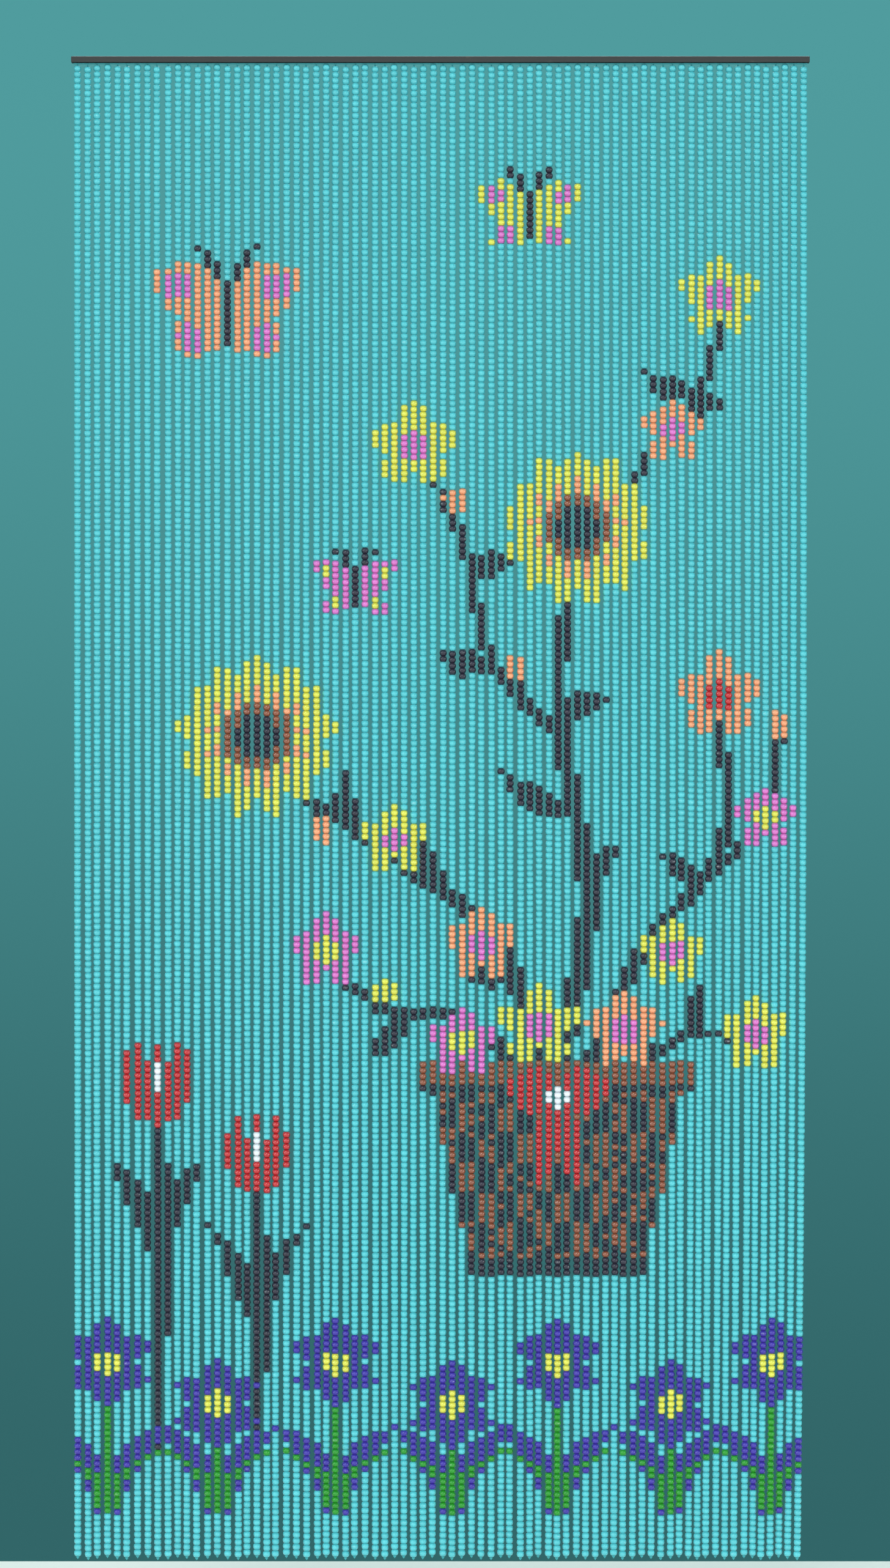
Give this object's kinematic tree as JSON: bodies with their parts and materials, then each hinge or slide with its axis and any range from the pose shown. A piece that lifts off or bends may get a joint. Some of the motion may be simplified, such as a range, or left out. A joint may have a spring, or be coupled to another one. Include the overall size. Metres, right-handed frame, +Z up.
{
  "type": "bead curtain",
  "caption": "Doorway curtain of round beads threaded on strings that hang side by side from a slim dark heading lath.",
  "frame": {"origin": "middle of the heading lath's top face, where the lintel or hooks above hold it", "axes": "+Z up along the strings, +X to the right as seen from the front, -Y out of the front"},
  "size_m": [0.991, 0.014, 2.0173],
  "materials": {
    "lath_dark": "satin dark stain",
    "bead_turquoise": "satin lacquer",
    "bead_yellow": "satin lacquer",
    "bead_peach": "satin lacquer",
    "bead_orchid": "satin lacquer",
    "bead_plum": "satin lacquer",
    "bead_rust": "satin lacquer",
    "bead_red": "satin lacquer",
    "bead_white": "satin lacquer",
    "bead_blue": "satin lacquer",
    "bead_green": "satin lacquer",
    "thread": "twisted thread"
  },
  "bodies": {
    "root": {"heading_lath": "lath_dark", "bead_strands": "bead_turquoise"}
  },
  "joints": []
}
